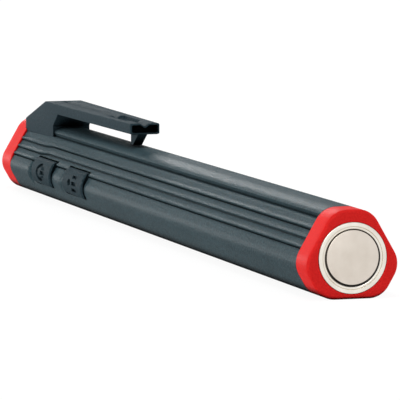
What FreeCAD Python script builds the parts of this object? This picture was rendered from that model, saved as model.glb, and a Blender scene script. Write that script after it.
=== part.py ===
import FreeCAD, Part
import os
import re
import Sketcher

# Pen-shaped magnetic pickup tool with a lamp, in millimetres.
# Frame: X runs along the tool towards the magnet, Z is up through the clip, and the
# origin is at mid-length on the flat the tool rests on.  Every sub-part is drawn in
# local coordinates, x from the rear end and y, z from the bore's axis, and its
# Placement moves it into the frame.

# ---- driving dimensions -------------------------------------------------------------

SIZES = {
    # outside shape: three long faces with a rounded lobe between each pair
    "tool_length": 180.0,
    "face_wall": 0.86,
    "lobe_wall": 1.92,
    "corner_radius": 3.65,
    "front_cap_depth": 5.3,
    "rear_cap_depth": 6.2,
    "cap_round": 0.7,
    "slip_gap": 0.06,
    "press_gap": 0.02,
    # shallow channel with raised ribs along each long face
    "channel_half": 3.3,
    "channel_drop": 0.33,
    "valley_width": 0.7,
    "valley_drop": 0.1,
    "rib_drop": 0.08,
    "rib_pitch": 1.63,
    "rib_flank": 0.2,
    "side_rib_shift": 0.52,
    # cells, size AAA
    "cell_radius": 5.2,
    "cell_gap": 0.2,
    "cell_length": 44.5,
    "cell_button_radius": 1.9,
    "cell_button": 1.0,
    "cell_bevel": 0.3,
    # lamp in the rear cap
    "window_radius": 3.6,
    "window_lip": 1.1,
    "lens_radius": 4.25,
    "lens_rim": 1.1,
    "lens_dome": 0.7,
    "lens_seal_width": 0.45,
    "lens_seal_depth": 0.4,
    "reflector_depth": 4.6,
    "reflector_wall": 0.35,
    "reflector_throat": 1.7,
    "led_radius": 1.6,
    "led_depth": 1.3,
    "lamp_board_depth": 1.0,
    "rear_spigot": 5.0,
    # switch board and its switches
    "board_offset": 1.6,
    "board_thickness": 1.0,
    "board_clearance": 0.5,
    "switch_side": 3.4,
    "switch_height": 1.2,
    "plunger_radius": 0.8,
    "plunger_stand": 0.45,
    "plunger_sunk": 0.5,
    "driver_side": 3.0,
    "driver_height": 0.9,
    "driver_place": 40.0,
    # push keys
    "first_key": 29.1,
    "key_pitch": 21.6,
    "key_length": 13.6,
    "key_top": 1.6,
    "key_bottom": 3.0,
    "key_raise": 0.36,
    "key_gap": 0.28,
    "key_flange": 0.5,
    "key_flange_play": 0.05,
    "key_lip": 0.6,
    "key_cover": 0.1,
    "key_nub_radius": 1.0,
    "key_travel": 0.35,
    # battery contacts
    "carrier_depth": 2.0,
    "contact_radius": 3.0,
    "contact_depth": 0.4,
    "strip_width": 3.0,
    "strip_thickness": 0.3,
    "spring_room": 10.2,
    "spring_radius": 3.4,
    "spring_wire": 0.35,
    "spring_turns": 4.5,
    # magnet and its fixing in the front cap
    "pot_cover": 0.81,
    "pot_depth": 4.5,
    "pot_wall": 1.02,
    "pot_floor": 1.2,
    "pot_edge": 0.15,
    "resin_gap": 0.26,
    "resin_drop": 0.35,
    "magnet_edge": 0.12,
    "stud_radius": 1.5,
    "stud_length": 5.2,
    "stud_hole_gap": 0.1,
    "cap_floor": 1.5,
    "front_spigot": 11.7,
    "spigot_wall": 1.1,
    "washer_radius": 3.0,
    "washer_depth": 0.5,
    "nut_flats": 5.5,
    "nut_depth": 2.4,
    "seal_section": 0.5,
    "seal_place": 6.0,
    # pocket clip
    "clip_tail": 0.8,
    "clip_length": 66.6,
    "clip_slope": 13.0,
    "clip_foot": 18.4,
    "clip_block": 21.6,
    "clip_root_gap": 0.1,
    "clip_reach": 2.41,
    "clip_thickness": 2.02,
    "clip_tail_rise": 0.38,
    "clip_tip_drop": 0.28,
    "clip_rear_half": 3.9,
    "clip_tip_half": 2.7,
    "clip_skirt_drop": 2.32,
    "hook_back": 6.0,
    "hook_toe": 1.2,
    "hook_ramp": 5.0,
    "hook_gap": 0.4,
    "hook_thickness": 1.75,
    "hook_root": 0.1,
    "groove_half": 0.9,
    "groove_depth": 0.55,
    "groove_inset": 3.6,
    "peg_inset": 5.6,
    "peg_length": 10.0,
    "peg_half": 1.8,
    "peg_depth": 1.3,
}

# ---- places worked out from the sizes, each by its own name ----------------------------

PLACES = {
    # section of the tool, as distances from the bore's axis
    "bore_radius": "cell_radius + cell_gap",
    "face_distance": "bore_radius + face_wall",
    "lobe_distance": "bore_radius + lobe_wall",
    "face_flat": "(2 * lobe_distance - face_distance - corner_radius) / sqrt(3)",
    "lobe_flat": "(2 * face_distance - lobe_distance - corner_radius) / sqrt(3)",
    "beyond": "lobe_distance + face_distance",
    "pot_radius": "face_distance - pot_cover",
    "pot_inner": "pot_radius - pot_wall",
    "magnet_radius": "pot_inner - resin_gap",
    # along the tool, from the rear end
    "front_joint": "tool_length - front_cap_depth",
    "pot_back": "tool_length - pot_depth",
    "pot_floor_face": "pot_back + pot_floor",
    "cap_floor_back": "pot_back - cap_floor",
    "washer_back": "cap_floor_back - washer_depth",
    "spigot_end": "front_joint - front_spigot",
    "cells_end": "spigot_end - contact_depth - spring_room",
    "cell_start": "cells_end - 2 * cell_length",
    "board_end": "cell_start - contact_depth - carrier_depth",
    "lens_face": "window_lip + lens_seal_depth",
    "lens_back": "lens_face + lens_rim",
    "reflector_back": "lens_back + reflector_depth",
    "lamp_board_back": "reflector_back + lamp_board_depth",
    "rear_spigot_end": "rear_cap_depth + rear_spigot",
    # keys and board
    "key_middle": "(key_top - key_bottom) / 2",
    "board_face": "board_offset + board_thickness",
    "board_half": "sqrt(bore_radius^2 - board_face^2) - board_clearance",
    "neck_half": "sqrt(lens_radius^2 - board_face^2)",
    "switch_top": "board_face + switch_height",
    "flange_face": "bore_radius - key_cover - key_flange_play",
    "flange_back": "flange_face - key_flange",
    # clip
    "clip_rear": "rear_cap_depth - clip_tail",
    "clip_peak": "clip_rear + clip_slope",
    "clip_foot_end": "clip_rear + clip_foot",
    "clip_root": "clip_rear + clip_block",
    "arm_root": "clip_root + clip_root_gap",
    "clip_tip": "clip_rear + clip_length",
    "clip_skirt": "lobe_distance - clip_skirt_drop",
    "clip_under": "lobe_distance + clip_reach",
    "clip_top": "clip_under + clip_thickness",
    "tip_under": "clip_under + clip_tip_drop",
    "hook_start": "clip_tip - hook_back",
    "hook_foot": "lobe_distance + hook_gap",
    "peg_start": "clip_rear + peg_inset",
    "peg_end": "peg_start + peg_length",
}

doc = FreeCAD.newDocument("pickup_tool")
sheet = doc.addObject("Spreadsheet::Sheet", "Sizes")
for row, (alias, value) in enumerate(SIZES.items(), start=1):
    sheet.set(f"A{row}", alias)
    sheet.set(f"B{row}", str(value))
    sheet.setAlias(f"B{row}", alias)
doc.recompute()

parts = []


# ---- helpers ------------------------------------------------------------------------

def bound(text):
    """An expression in which every size's name is read from the sheet."""
    def in_full(word):
        name = word[0]
        if name in PLACES:
            return "(" + bound(PLACES[name]) + ")"
        return "Sizes." + name if name in SIZES else name
    return re.sub(r"[a-z_]+", in_full, text)


def polar(distance, along, angle):
    """A point on the face whose outward normal is at this angle, 'along' it anticlockwise."""
    across = f"({distance}) * cos({angle} deg) - ({along}) * sin({angle} deg)"
    up = f"({distance}) * sin({angle} deg) + ({along}) * cos({angle} deg)"
    return across, up


def trilobe(grow="0"):
    """The outside outline: a line for each face and lobe, an arc for each corner."""
    outline = []
    for angle in range(30, 390, 60):
        side = "face" if angle % 120 == 30 else "lobe"
        distance = f"{side}_distance + {grow}"
        outline.append(polar(distance, f"-{side}_flat", angle))
        outline.append(polar(distance, f"{side}_flat", angle) + (f"corner_radius + {grow}",))
    return outline


def rectangle(left, right, low, high):
    return [(left, low), (right, low), (right, high), (left, high)]


def new_body(label):
    body = doc.addObject("PartDesign::Body", label)
    body.Label = label
    body.setExpression("Placement.Base.x", bound("-tool_length / 2"))
    body.setExpression("Placement.Base.z", bound("face_distance"))
    parts.append(body)
    return body


def add_sketch(body, name, plane, offset="0"):
    """A sketch on one of the body's own planes, moved along that plane's normal."""
    sketch = body.newObject("Sketcher::SketchObject", name)
    origin_plane = [item for item in body.Origin.OriginFeatures if item.Role == plane][0]
    sketch.AttachmentSupport = [(origin_plane, "")]
    sketch.MapMode = "FlatFace"
    sketch.setExpression("AttachmentOffset.Base.z", bound(offset))
    return sketch


def value_of(sketch, text):
    return float(sketch.evalExpression(bound(text)))


def fix_point(sketch, edge, end, across, up):
    """Ties an end (1) or a centre (3) of an edge to the sketch's origin."""
    for kind, text in (("DistanceX", across), ("DistanceY", up)):
        rule = Sketcher.Constraint(kind, -1, 1, edge, end, value_of(sketch, text))
        number = sketch.addConstraint(rule)
        sketch.setExpression(f"Constraints[{number}]", bound(text))


def fix_radius(sketch, edge, radius):
    number = sketch.addConstraint(Sketcher.Constraint("Radius", edge, value_of(sketch, radius)))
    sketch.setExpression(f"Constraints[{number}]", bound(radius))


def arc_between(start, end, radius):
    """The short arc from start to end, anticlockwise."""
    half_chord = (end - start) * 0.5
    normal = FreeCAD.Vector(-half_chord.y, half_chord.x, 0).normalize()
    rise = (radius ** 2 - half_chord.Length ** 2) ** 0.5
    circle = Part.Circle(start + half_chord + normal * rise, FreeCAD.Vector(0, 0, 1), radius)
    return Part.ArcOfCircle(circle, circle.parameter(start), circle.parameter(end))


def draw_loop(sketch, outline):
    """A closed outline of (x, y) points; a third value makes the edge to the next an arc."""
    corners = []
    for point in outline:
        corners.append(FreeCAD.Vector(value_of(sketch, point[0]), value_of(sketch, point[1]), 0))
    first = sketch.GeometryCount
    count = len(outline)
    for index, point in enumerate(outline):
        start = corners[index]
        end = corners[(index + 1) % count]
        if len(point) == 3:
            sketch.addGeometry(arc_between(start, end, value_of(sketch, point[2])), False)
        else:
            sketch.addGeometry(Part.LineSegment(start, end), False)
    for index in range(count):
        following = first + (index + 1) % count
        sketch.addConstraint(Sketcher.Constraint("Coincident", first + index, 2, following, 1))
    for index, point in enumerate(outline):
        fix_point(sketch, first + index, 1, point[0], point[1])
        if len(point) == 3:
            fix_radius(sketch, first + index, point[2])


def draw_circle(sketch, across, up, radius):
    centre = FreeCAD.Vector(value_of(sketch, across), value_of(sketch, up), 0)
    circle = Part.Circle(centre, FreeCAD.Vector(0, 0, 1), value_of(sketch, radius))
    edge = sketch.addGeometry(circle, False)
    fix_point(sketch, edge, 3, across, up)
    fix_radius(sketch, edge, radius)


def pad(body, sketch, length, midplane=False, reverse=False):
    feature = body.newObject("PartDesign::Pad", sketch.Name + "_pad")
    feature.Profile = sketch
    feature.Midplane = midplane
    feature.Reversed = reverse
    feature.setExpression("Length", bound(length))
    doc.recompute()


def pocket(body, sketch, length, reverse=False):
    """A cut, which has to remove something: one that points away stops the build."""
    before = body.Shape.Volume
    feature = body.newObject("PartDesign::Pocket", sketch.Name + "_cut")
    feature.Profile = sketch
    feature.Reversed = reverse
    feature.setExpression("Length", bound(length))
    doc.recompute()
    if not body.Shape.Volume < before:
        raise RuntimeError(f"{body.Label}: {sketch.Name} cuts nothing")


def turn(body, sketch, kind="PartDesign::Revolution"):
    feature = body.newObject(kind, sketch.Name + "_turn")
    feature.Profile = sketch
    feature.ReferenceAxis = (sketch, ["H_Axis"])
    feature.Angle = 360
    doc.recompute()


def turned(label, outline):
    """A round piece on the bore's axis, turned from an outline of (x, radius) points."""
    body = new_body(label)
    sketch = add_sketch(body, label + "_outline", "XY_Plane")
    draw_loop(sketch, outline)
    turn(body, sketch)


def round_end(body, place):
    """Rounds the outline's edges on the end plane at this x."""
    base = body.Tip
    plane_x = value_of(base, place)
    edges = []
    for number, edge in enumerate(base.Shape.Edges, start=1):
        box = edge.BoundBox
        if abs(box.XMin - plane_x) < 1e-6 and abs(box.XMax - plane_x) < 1e-6:
            edges.append(f"Edge{number}")
    fillet = body.newObject("PartDesign::Fillet", body.Label + "_round")
    fillet.Base = (base, edges)
    fillet.setExpression("Radius", bound("cap_round"))
    doc.recompute()


# ---- body tube ----------------------------------------------------------------------

def side_channel(mirror):
    """Section cut from a sloping face: a valley beside the top lobe, then three stepped ribs.

    mirror is 1 for the face on -Y and -1 for its mirror image on +Y."""
    steps = [("-channel_half - valley_width", "beyond"),
             ("-channel_half - valley_width", "face_distance - valley_drop"),
             ("-channel_half", "face_distance - channel_drop - valley_drop")]
    for rib in (-1, 0, 1):
        crest = f"side_rib_shift + {rib} * rib_pitch"
        steps.append((crest, "face_distance - rib_drop"))
        steps.append((crest + " + rib_flank", "face_distance - channel_drop"))
    steps.append(("channel_half", "face_distance - rib_drop"))
    steps.append(("channel_half", "beyond"))
    outline = []
    for along, distance in steps:
        across, up = polar(distance, along, 150)
        outline.append((f"{mirror} * ({across})", up))
    return outline


def bottom_channel():
    """Section cut from the face the tool rests on: three ribs in a shallow channel."""
    steps = [("-channel_half", "beyond"), ("-channel_half", "face_distance - rib_drop")]
    for rib in (-1, 0, 1):
        for side, drop in ((-2, "channel_drop"), (-0.5, "rib_drop"), (0.5, "rib_drop"),
                           (2, "channel_drop")):
            steps.append((f"{rib} * rib_pitch + {side} * rib_flank", f"face_distance - {drop}"))
    steps.append(("channel_half", "face_distance - rib_drop"))
    steps.append(("channel_half", "beyond"))
    return [polar(distance, along, 270) for along, distance in steps]


def key_place(number):
    return f"(first_key + {number} * key_pitch)"


def cut_key_window(body, number):
    """A window through the -Y wall for one key, and a wider pocket behind it for its lips."""
    middle = key_place(number)
    for name, half, depth in (("window", "(key_length / 2 + key_gap)", "beyond"),
                              ("pocket", "(key_length / 2 + key_lip + key_gap)",
                               "bore_radius - key_cover")):
        sketch = add_sketch(body, f"key_{name}_{number}", "XZ_Plane")
        draw_loop(sketch, rectangle(f"{middle} - {half}", f"{middle} + {half}",
                                    "-key_bottom - key_gap", "key_top + key_gap"))
        pocket(body, sketch, depth, reverse=True)


def make_body_tube():
    body = new_body("body_tube")
    length = "front_joint - rear_cap_depth"
    outside = add_sketch(body, "tube_outside", "YZ_Plane", "rear_cap_depth")
    draw_loop(outside, trilobe())
    pad(body, outside, length)
    bore = add_sketch(body, "tube_bore", "YZ_Plane", "rear_cap_depth")
    draw_circle(bore, "0", "0", "bore_radius")
    pocket(body, bore, length, reverse=True)
    for name, outline in (("left", side_channel(1)), ("right", side_channel(-1)),
                          ("bottom", bottom_channel())):
        channel = add_sketch(body, name + "_channel", "YZ_Plane", "rear_cap_depth")
        draw_loop(channel, outline)
        pocket(body, channel, length, reverse=True)
    slot = add_sketch(body, "strip_slot", "YZ_Plane", "board_end")
    outer = "bore_radius + strip_thickness + 2 * slip_gap"
    half = "(strip_width / 2 + slip_gap)"
    corners = [("bore_radius / 2", "-" + half), (outer, "-" + half), (outer, half),
               ("bore_radius / 2", half)]
    draw_loop(slot, [polar(distance, along, 330) for distance, along in corners])
    pocket(body, slot, "front_joint - board_end", reverse=True)
    for number in (0, 1):
        cut_key_window(body, number)
    socket = add_sketch(body, "clip_socket", "XY_Plane", "beyond")
    draw_loop(socket, rectangle("peg_start - slip_gap", "peg_end + slip_gap",
                                "-peg_half - slip_gap", "peg_half + slip_gap"))
    pocket(body, socket, "beyond - lobe_distance + peg_depth + slip_gap")


# ---- push keys and their switches ---------------------------------------------------

def make_key(label, number):
    """A pad that carries the tube's outline across its window, lips that hold it in, a nub."""
    middle = key_place(number)
    start = f"{middle} - key_length / 2"
    body = new_body(label)
    outside = add_sketch(body, label + "_outside", "YZ_Plane", start)
    draw_loop(outside, trilobe("key_raise"))
    pad(body, outside, "key_length")
    trim = add_sketch(body, label + "_trim", "YZ_Plane", start)
    draw_loop(trim, rectangle("-2 * beyond", "2 * beyond", "-2 * beyond", "2 * beyond"))
    draw_loop(trim, rectangle("-1.5 * beyond", "-flange_face", "-key_bottom", "key_top"))
    pocket(body, trim, "key_length", reverse=True)
    lips = add_sketch(body, label + "_lips", "YZ_Plane", start + " - key_lip")
    draw_loop(lips, rectangle("-flange_face", "-flange_back", "-key_bottom", "key_top"))
    pad(body, lips, "key_length + 2 * key_lip")
    nub = add_sketch(body, label + "_nub", "XZ_Plane", "flange_back")
    draw_circle(nub, middle, "key_middle", "key_nub_radius")
    pad(body, nub, "flange_back - switch_top - plunger_stand", reverse=True)


def make_switch(label, number):
    """A tactile switch's square housing on the board, with the well its plunger moves in."""
    middle = key_place(number)
    body = new_body(label)
    housing = add_sketch(body, label + "_square", "XZ_Plane", "board_face")
    draw_loop(housing, rectangle(f"{middle} - switch_side / 2", f"{middle} + switch_side / 2",
                                 "key_middle - switch_side / 2", "key_middle + switch_side / 2"))
    pad(body, housing, "switch_height")
    well = add_sketch(body, label + "_well", "XZ_Plane", "switch_top")
    draw_circle(well, middle, "key_middle", "plunger_radius + slip_gap")
    pocket(body, well, "plunger_sunk + key_travel + slip_gap")


def make_plunger(label, number):
    body = new_body(label)
    rod = add_sketch(body, label + "_round", "XZ_Plane", "switch_top - plunger_sunk")
    draw_circle(rod, key_place(number), "key_middle", "plunger_radius")
    pad(body, rod, "plunger_sunk + plunger_stand")


def make_switch_board():
    """The long board, necked where it passes inside the rear cap's spigot."""
    body = new_body("switch_board")
    board = add_sketch(body, "board_outline", "XZ_Plane", "board_offset")
    neck_end = "rear_spigot_end + board_clearance"
    draw_loop(board, [("lamp_board_back", "-neck_half"), (neck_end, "-neck_half"),
                      (neck_end, "-board_half"), ("board_end", "-board_half"),
                      ("board_end", "board_half"), (neck_end, "board_half"),
                      (neck_end, "neck_half"), ("lamp_board_back", "neck_half")])
    pad(body, board, "board_thickness")


def make_driver_chip():
    """The lamp's driver, on the side of the board away from the switches."""
    body = new_body("driver_chip")
    chip = add_sketch(body, "chip_outline", "XZ_Plane", "board_offset")
    draw_loop(chip, rectangle("driver_place - driver_side / 2", "driver_place + driver_side / 2",
                              "-driver_side / 2", "driver_side / 2"))
    pad(body, chip, "driver_height", reverse=True)


# ---- lamp in the rear cap -----------------------------------------------------------

def make_rear_cap():
    """Red cap with a round window, a spigot pressed into the tube and a notch for the clip."""
    body = new_body("rear_cap")
    flange = add_sketch(body, "rear_flange", "YZ_Plane")
    draw_loop(flange, trilobe())
    pad(body, flange, "rear_cap_depth")
    round_end(body, "0")
    spigot = add_sketch(body, "rear_spigot_round", "YZ_Plane", "rear_cap_depth")
    draw_circle(spigot, "0", "0", "bore_radius - slip_gap")
    pad(body, spigot, "rear_spigot")
    for name, radius, start in (("rear_window", "window_radius", "0"),
                                ("lamp_bore", "lens_radius + slip_gap", "window_lip")):
        hole = add_sketch(body, name, "YZ_Plane", start)
        draw_circle(hole, "0", "0", radius)
        pocket(body, hole, f"rear_spigot_end - {start}", reverse=True)
    notch = add_sketch(body, "clip_notch", "XY_Plane", "beyond")
    half = "(clip_rear_half + slip_gap)"
    draw_loop(notch, rectangle("clip_rear - slip_gap", "rear_cap_depth", "-" + half, half))
    pocket(body, notch, "beyond - clip_skirt + slip_gap")


def make_lamp():
    """Seal, domed lens, reflector, board and LED, stacked on the axis behind the window."""
    turned("lens_seal", rectangle("window_lip", "lens_face", "lens_radius - lens_seal_width",
                                  "lens_radius"))
    dome = "(window_radius - slip_gap)"
    dome_arc = f"({dome}^2 + lens_dome^2) / (2 * lens_dome)"
    turned("lens", [("lens_face", dome, dome_arc), ("lens_face - lens_dome", "0"), ("lens_back", "0"),
                    ("lens_back", "lens_radius"), ("lens_face", "lens_radius")])
    bowl = "(lens_radius - reflector_wall - reflector_throat)"
    turned("reflector", [("lens_back", "lens_radius - reflector_wall"),
                         ("lens_back + 0.4 * reflector_depth", f"reflector_throat + 0.7 * {bowl}"),
                         ("lens_back + 0.7 * reflector_depth", f"reflector_throat + 0.3 * {bowl}"),
                         ("reflector_back - led_depth / 2", "reflector_throat"),
                         ("reflector_back", "reflector_throat"), ("reflector_back", "lens_radius"),
                         ("lens_back", "lens_radius")])
    turned("lamp_board", rectangle("reflector_back", "lamp_board_back", "0", "lens_radius"))
    turned("lamp_led", rectangle("reflector_back - led_depth", "reflector_back", "0", "led_radius"))


# ---- battery contacts and cells -----------------------------------------------------

def make_cell(label, number):
    """A cell with its button towards the lamp and bevelled shoulders."""
    start = f"(cell_start + {number} * cell_length)"
    end = f"(cell_start + {number + 1} * cell_length)"
    turned(label, [(start, "0"), (start, "cell_button_radius"),
                   (start + " + cell_button", "cell_button_radius"),
                   (start + " + cell_button", "cell_radius - cell_bevel"),
                   (start + " + cell_button + cell_bevel", "cell_radius"),
                   (end + " - cell_bevel", "cell_radius"), (end, "cell_radius - cell_bevel"),
                   (end, "0")])


def make_contacts():
    turned("contact_carrier", rectangle("board_end", "board_end + carrier_depth",
                                        "0", "bore_radius - slip_gap"))
    turned("positive_contact", rectangle("board_end + carrier_depth", "cell_start",
                                         "0", "contact_radius"))
    turned("spring_plate", rectangle("spigot_end - contact_depth", "spigot_end",
                                     "0", "bore_radius - slip_gap"))
    strip = new_body("contact_strip")
    section = add_sketch(strip, "strip_section", "YZ_Plane", "board_end")
    inner = "bore_radius + slip_gap"
    outer = "bore_radius + slip_gap + strip_thickness"
    corners = [(inner, "-strip_width / 2"), (outer, "-strip_width / 2"), (outer, "strip_width / 2"),
               (inner, "strip_width / 2")]
    draw_loop(section, [polar(distance, along, 330) for distance, along in corners])
    pad(strip, section, "spigot_end - board_end")


def make_contact_spring():
    """Round wire coiled on the bore's axis between the front cell and the spring plate."""
    helix = doc.addObject("Part::Helix", "spring_path")
    helix.setExpression("Height", bound("spring_room - 2 * spring_wire"))
    helix.setExpression("Pitch", bound("(spring_room - 2 * spring_wire) / spring_turns"))
    helix.setExpression("Radius", bound("spring_radius"))
    wire = doc.addObject("Part::Circle", "spring_wire_section")
    wire.setExpression("Radius", bound("spring_wire"))
    wire.setExpression("Placement.Base.x", bound("spring_radius"))
    wire.Placement.Rotation = FreeCAD.Rotation(FreeCAD.Vector(1, 0, 0), 90)
    spring = doc.addObject("Part::Sweep", "contact_spring")
    spring.Label = "contact_spring"
    spring.Sections = [wire]
    spring.Spine = (helix, [])
    spring.Solid = True
    spring.Frenet = True
    spring.Placement.Rotation = FreeCAD.Rotation(FreeCAD.Vector(0, 1, 0), 90)
    spring.setExpression("Placement.Base.x", bound("cells_end + spring_wire - tool_length / 2"))
    spring.setExpression("Placement.Base.z", bound("face_distance"))
    doc.recompute()
    parts.append(spring)


# ---- front cap with the magnet ------------------------------------------------------

def make_front_cap():
    """Red cap: a seat for the magnet's pot, a hollow spigot, a seal groove round it."""
    body = new_body("front_cap")
    flange = add_sketch(body, "front_flange", "YZ_Plane", "front_joint")
    draw_loop(flange, trilobe())
    pad(body, flange, "front_cap_depth")
    round_end(body, "tool_length")
    spigot = add_sketch(body, "front_spigot_round", "YZ_Plane", "spigot_end")
    draw_circle(spigot, "0", "0", "bore_radius - slip_gap")
    pad(body, spigot, "front_spigot")
    for name, radius, start, end in (
            ("pot_seat", "pot_radius + press_gap", "pot_back", "tool_length"),
            ("spigot_hollow", "bore_radius - slip_gap - spigot_wall", "spigot_end", "cap_floor_back"),
            ("stud_hole", "stud_radius + stud_hole_gap", "cap_floor_back", "pot_back")):
        hole = add_sketch(body, name, "YZ_Plane", start)
        draw_circle(hole, "0", "0", radius)
        pocket(body, hole, f"{end} - {start}", reverse=True)
    groove = add_sketch(body, "seal_groove", "XY_Plane")
    middle = "front_joint - seal_place"
    draw_loop(groove, rectangle(f"{middle} - seal_section - slip_gap",
                                f"{middle} + seal_section + slip_gap",
                                "bore_radius - 2 * seal_section - slip_gap", "beyond"))
    turn(body, groove, "PartDesign::Groove")


def make_front_seal():
    body = new_body("front_seal")
    sketch = add_sketch(body, "seal_ring", "XY_Plane")
    draw_circle(sketch, "front_joint - seal_place", "bore_radius - seal_section - slip_gap / 2",
                "seal_section")
    turn(body, sketch)


def make_magnet():
    """Steel pot with its stud, a plated disc magnet in it and resin in the gap between."""
    stud_end = "pot_back - stud_length"
    turned("magnet_pot", [(stud_end, "0"), ("pot_floor_face", "0"), ("pot_floor_face", "pot_inner"),
                          ("tool_length", "pot_inner"), ("tool_length", "pot_radius - pot_edge"),
                          ("tool_length - pot_edge", "pot_radius"), ("pot_back", "pot_radius"),
                          ("pot_back", "stud_radius"), (stud_end, "stud_radius")])
    turned("magnet_disc", [("pot_floor_face", "0"), ("tool_length", "0"),
                           ("tool_length", "magnet_radius - magnet_edge"),
                           ("tool_length - magnet_edge", "magnet_radius"),
                           ("pot_floor_face", "magnet_radius")])
    turned("magnet_resin", rectangle("pot_floor_face", "tool_length - resin_drop",
                                     "magnet_radius", "pot_inner"))
    turned("stud_washer", rectangle("washer_back", "cap_floor_back",
                                    "stud_radius + stud_hole_gap", "washer_radius"))


def make_stud_nut():
    body = new_body("stud_nut")
    sketch = add_sketch(body, "nut_outline", "YZ_Plane", "washer_back - nut_depth")
    corner = "nut_flats / sqrt(3)"
    draw_loop(sketch, [(f"{corner} * cos({angle} deg)", f"{corner} * sin({angle} deg)")
                       for angle in range(0, 360, 60)])
    draw_circle(sketch, "0", "0", "stud_radius + press_gap")
    pad(body, sketch, "nut_depth")


# ---- pocket clip --------------------------------------------------------------------

def clip_half(place):
    """Half the clip's width at this x: it tapers evenly from the rear end to the tip."""
    share = f"({place} - clip_rear) / (clip_tip - clip_rear)"
    return f"(clip_rear_half + (clip_tip_half - clip_rear_half) * {share})"


def clip_crown(place):
    """The clip's top at this x, which falls a little from the peak to the tip."""
    share = f"({place} - clip_peak) / (clip_tip - clip_peak)"
    return f"(clip_top - clip_tip_drop * {share})"


def taper_sides(body, start, end):
    """Cuts both sides of the clip to its taper."""
    sketch = add_sketch(body, body.Label + "_taper", "XY_Plane")
    for side in ("", "-"):
        draw_loop(sketch, [(start, side + clip_half(start)), (end, side + clip_half(end)),
                           (end, side + "2 * clip_rear_half"), (start, side + "2 * clip_rear_half")])
    pocket(body, sketch, "2 * clip_top", reverse=True)


def cut_top_groove(body, start, end):
    """The shallow V along the middle of the clip's top."""
    sketch = add_sketch(body, body.Label + "_groove", "YZ_Plane", start)
    foot = "clip_top - groove_depth"
    draw_loop(sketch, [("0", foot), ("2 * groove_half", foot + " + 2 * groove_depth"),
                       ("-2 * groove_half", foot + " + 2 * groove_depth")])
    pocket(body, sketch, f"{end} - {start}", reverse=True)


def make_clip_base():
    """The clip's block: it sits astride the top lobe, with a peg in the tube's socket."""
    body = new_body("clip_base")
    side = add_sketch(body, "base_side", "XZ_Plane")
    draw_loop(side, [("clip_rear", "clip_skirt"), ("clip_foot_end", "clip_skirt"),
                     ("clip_foot_end", "lobe_distance"), ("clip_root", "clip_under"),
                     ("clip_root", clip_crown("clip_root")), ("clip_peak", "clip_top"),
                     ("clip_rear", "lobe_distance + clip_tail_rise")])
    pad(body, side, "2 * clip_rear_half", midplane=True)
    taper_sides(body, "clip_rear", "clip_root")
    saddle = add_sketch(body, "base_saddle", "YZ_Plane")
    draw_loop(saddle, trilobe())
    pocket(body, saddle, "clip_root", reverse=True)
    cut_top_groove(body, "(clip_rear + groove_inset)", "clip_root")
    peg = add_sketch(body, "base_peg", "XY_Plane", "lobe_distance - peg_depth")
    draw_loop(peg, rectangle("peg_start", "peg_end", "-peg_half", "peg_half"))
    pad(body, peg, "clip_under - lobe_distance + peg_depth")


def make_clip_arm():
    """The clip's springy arm with the hook rib under its tip."""
    body = new_body("clip_arm")
    side = add_sketch(body, "arm_side", "XZ_Plane")
    draw_loop(side, [("arm_root", "clip_under"), ("clip_tip", "tip_under"),
                     ("clip_tip", clip_crown("clip_tip")), ("arm_root", clip_crown("arm_root"))])
    pad(body, side, "2 * clip_rear_half", midplane=True)
    taper_sides(body, "arm_root", "clip_tip")
    cut_top_groove(body, "arm_root", "clip_tip")
    hook = add_sketch(body, "arm_hook", "XZ_Plane")
    draw_loop(hook, [("hook_start", "hook_foot"), ("hook_start + hook_toe", "hook_foot"),
                     ("hook_start + hook_ramp", "tip_under + hook_root"),
                     ("hook_start", "tip_under + hook_root")])
    pad(body, hook, "hook_thickness", midplane=True)


# ---- build, check and write ---------------------------------------------------------

def write_parts():
    doc.recompute()
    for item in doc.Objects:
        if "Invalid" in item.State or "Error" in item.State:
            raise RuntimeError(f"{item.Label} failed: {item.State}")
    for item in parts:
        if item.Shape.isNull() or not item.Shape.isValid():
            raise RuntimeError(f"{item.Label} has no valid shape")
    os.makedirs("parts", exist_ok=True)
    for item in parts:
        item.Shape.exportStep(os.path.join("parts", item.Label + ".step"))


make_body_tube()
make_rear_cap()
make_lamp()
make_switch_board()
make_driver_chip()
for number, side in enumerate(("rear", "front")):
    make_key(side + "_key", number)
    make_switch(side + "_switch", number)
    make_plunger(side + "_plunger", number)
    make_cell(side + "_cell", number)
make_contacts()
make_contact_spring()
make_front_cap()
make_front_seal()
make_magnet()
make_stud_nut()
make_clip_base()
make_clip_arm()
write_parts()
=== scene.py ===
import math

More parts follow.
